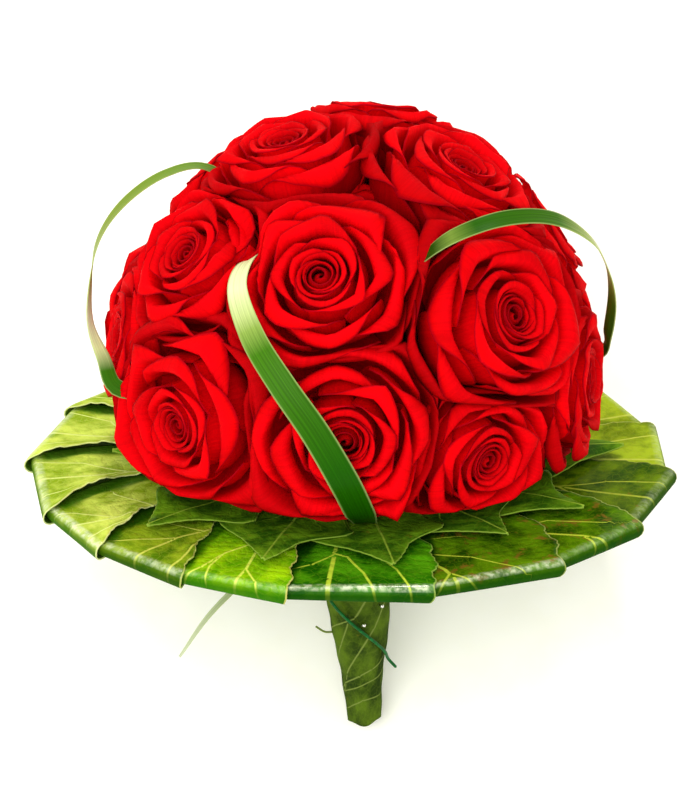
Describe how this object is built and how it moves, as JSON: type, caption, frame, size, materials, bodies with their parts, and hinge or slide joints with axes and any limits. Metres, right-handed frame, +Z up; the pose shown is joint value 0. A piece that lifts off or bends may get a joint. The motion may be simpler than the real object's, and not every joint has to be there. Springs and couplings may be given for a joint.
{
  "type": "rose bouquet",
  "caption": "Hand bouquet: a dense dome of open red roses on a folded ivy-leaf collar, with loops of grass blade and a tapered, leaf-wrapped handle, lying back on its collar and handle end.",
  "frame": {"origin": "the middle of the bounding box in plan, on the surface that the bouquet lies on", "axes": "+Z up as it lies. The handle's axis lies in the Y-Z plane: the dome leans back towards +Y, and the side that the picture shows faces -Y and up. +X is to the right in that view."},
  "size_m": [0.2516, 0.221, 0.2214],
  "materials": {
    "petal": "velvety, slightly soft sheen",
    "ivy_leaf": "waxy, glossy on the folds",
    "grass": "satin, ribbed along the blade",
    "foam": "matt, fine open cells",
    "holder": "satin",
    "board": "matt",
    "wire": "lacquered",
    "pin": "polished"
  },
  "bodies": {
    "root": {"rose_01": "petal", "rose_02": "petal", "rose_03": "petal", "rose_04": "petal", "rose_05": "petal", "rose_06": "petal", "rose_07": "petal", "rose_08": "petal", "rose_09": "petal", "rose_10": "petal", "rose_11": "petal", "rose_12": "petal", "rose_13": "petal", "rose_14": "petal", "rose_15": "petal", "rose_16": "petal", "rose_17": "petal", "rose_18": "petal", "rose_19": "petal", "rose_20": "petal", "rose_21": "petal", "collar_leaf_01": "ivy_leaf", "collar_leaf_02": "ivy_leaf", "collar_leaf_03": "ivy_leaf", "collar_leaf_04": "ivy_leaf", "collar_leaf_05": "ivy_leaf", "collar_leaf_06": "ivy_leaf", "collar_leaf_07": "ivy_leaf", "collar_leaf_08": "ivy_leaf", "collar_leaf_09": "ivy_leaf", "collar_leaf_10": "ivy_leaf", "collar_leaf_11": "ivy_leaf", "collar_leaf_12": "ivy_leaf", "collar_leaf_13": "ivy_leaf", "collar_leaf_14": "ivy_leaf", "collar_leaf_15": "ivy_leaf", "collar_leaf_16": "ivy_leaf", "inner_leaf_01": "ivy_leaf", "inner_leaf_02": "ivy_leaf", "inner_leaf_03": "ivy_leaf", "inner_leaf_04": "ivy_leaf", "inner_leaf_05": "ivy_leaf", "inner_leaf_06": "ivy_leaf", "inner_leaf_07": "ivy_leaf", "inner_leaf_08": "ivy_leaf", "inner_leaf_09": "ivy_leaf", "inner_leaf_10": "ivy_leaf", "inner_leaf_11": "ivy_leaf", "handle_wrap": "ivy_leaf", "grass_blade_front": "grass", "grass_loop_left": "grass", "grass_loop_right": "grass", "grass_tail": "grass", "foam_ball": "foam", "holder": "holder", "collar_disc": "board", "binding_wire": "wire", "pin_upper": "pin", "pin_lower": "pin"}
  },
  "joints": []
}
